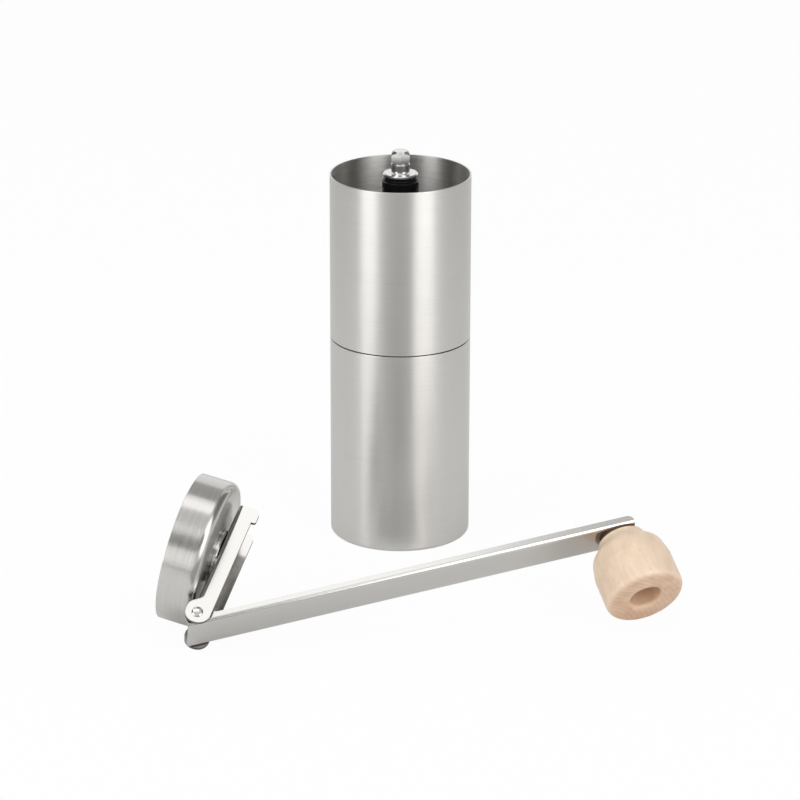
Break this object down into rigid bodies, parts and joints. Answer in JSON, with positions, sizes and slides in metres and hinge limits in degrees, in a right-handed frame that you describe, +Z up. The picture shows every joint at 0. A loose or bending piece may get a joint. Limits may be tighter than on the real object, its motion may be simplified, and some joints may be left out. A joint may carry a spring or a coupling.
{
  "type": "hand crank coffee grinder",
  "caption": "Hand coffee grinder of brushed steel: a tube and catch cup with a conical burr set, and a lid with a folding crank and a turned wooden knob lying beside it.",
  "frame": {"origin": "middle of the catch cup's flat base, on the table", "axes": "+Z up along the grinder's shaft, +X to the right and +Y away from the viewer of the picture; the lid and crank lie in front, towards -Y"},
  "size_m": [0.1961, 0.1614, 0.1563],
  "materials": {
    "brushed_steel": "stainless, finely brushed round the axis",
    "polished_steel": "stainless, bright satin",
    "arm_steel": "stainless, finely brushed along its length",
    "plain_steel": "plain bright steel",
    "black_plastic": "black, semi-gloss",
    "dark_plastic": "dark brown, matte",
    "ceramic": "white ceramic, matte",
    "rubber": "black, matte",
    "wood": "pale beech, unvarnished"
  },
  "bodies": {
    "catch_cup": {"catch_cup": "brushed_steel"},
    "upper_body": {"upper_tube": "brushed_steel", "burr_carrier": "black_plastic", "neck_seal": "rubber", "shaft_column": "black_plastic", "upper_bush": "black_plastic", "lower_bush": "black_plastic", "outer_burr": "ceramic", "burr_retainer": "black_plastic", "retainer_screws": "plain_steel"},
    "drive_shaft": {"drive_shaft": "polished_steel", "shaft_collar": "polished_steel", "burr_spring": "plain_steel"},
    "burr_carriage": {"inner_burr": "ceramic", "burr_driver": "black_plastic", "click_washer": "plain_steel"},
    "adjuster": {"adjusting_nut": "black_plastic"},
    "crank_arm": {"crank_arm": "arm_steel", "knob_axle": "plain_steel", "knob_washer": "dark_plastic"},
    "knob": {"knob": "wood", "knob_bush": "dark_plastic"},
    "crank_bracket": {"bracket": "polished_steel", "hinge_pin": "plain_steel", "hub_disc": "polished_steel", "drive_socket": "polished_steel", "socket_clip": "plain_steel"},
    "lid": {"lid_cap": "brushed_steel", "lid_bush": "black_plastic"}
  },
  "joints": [
    {"name": "upper_lift", "type": "slide", "parent": "catch_cup", "child": "upper_body", "axis": [0, 0, 1], "range_m": [0, 0.06]},
    {"name": "shaft_spin", "type": "hinge", "parent": "upper_body", "child": "drive_shaft", "pos_m": [0, 0, 0.147], "axis": [0, 0, 1], "continuous": true},
    {"name": "burr_travel", "type": "slide", "parent": "drive_shaft", "child": "burr_carriage", "axis": [0, 0, 1], "range_m": [-0.001, 0.00025], "deforming": ["burr_spring"]},
    {"name": "adjuster_turn", "type": "hinge", "parent": "burr_carriage", "child": "adjuster", "pos_m": [0, 0, 0.063], "axis": [0, 0, 1], "range_deg": [-360, 90]},
    {"name": "crank_slide", "type": "slide", "parent": "catch_cup", "child": "crank_arm", "axis": [0, -1, 0], "range_m": [0, 0.1]},
    {"name": "crank_fold", "type": "hinge", "parent": "crank_arm", "child": "crank_bracket", "pos_m": [-0.0746, -0.1251, 0.01003], "axis": [0.065, -0.545, 0.8359], "range_deg": [-53.7, 212.3]},
    {"name": "lid_turn", "type": "hinge", "parent": "crank_bracket", "child": "lid", "pos_m": [-0.06799, -0.09857, 0.02682], "axis": [0.9488, -0.2258, -0.221], "continuous": true},
    {"name": "knob_spin", "type": "hinge", "parent": "crank_arm", "child": "knob", "pos_m": [0.08167, -0.07628, 0.0297], "axis": [0.3125, -0.7844, -0.5357], "continuous": true}
  ],
  "couplings": [
    {"joint": "adjuster_turn", "follows": "burr_travel", "rad_per_m": 6283.2}
  ]
}
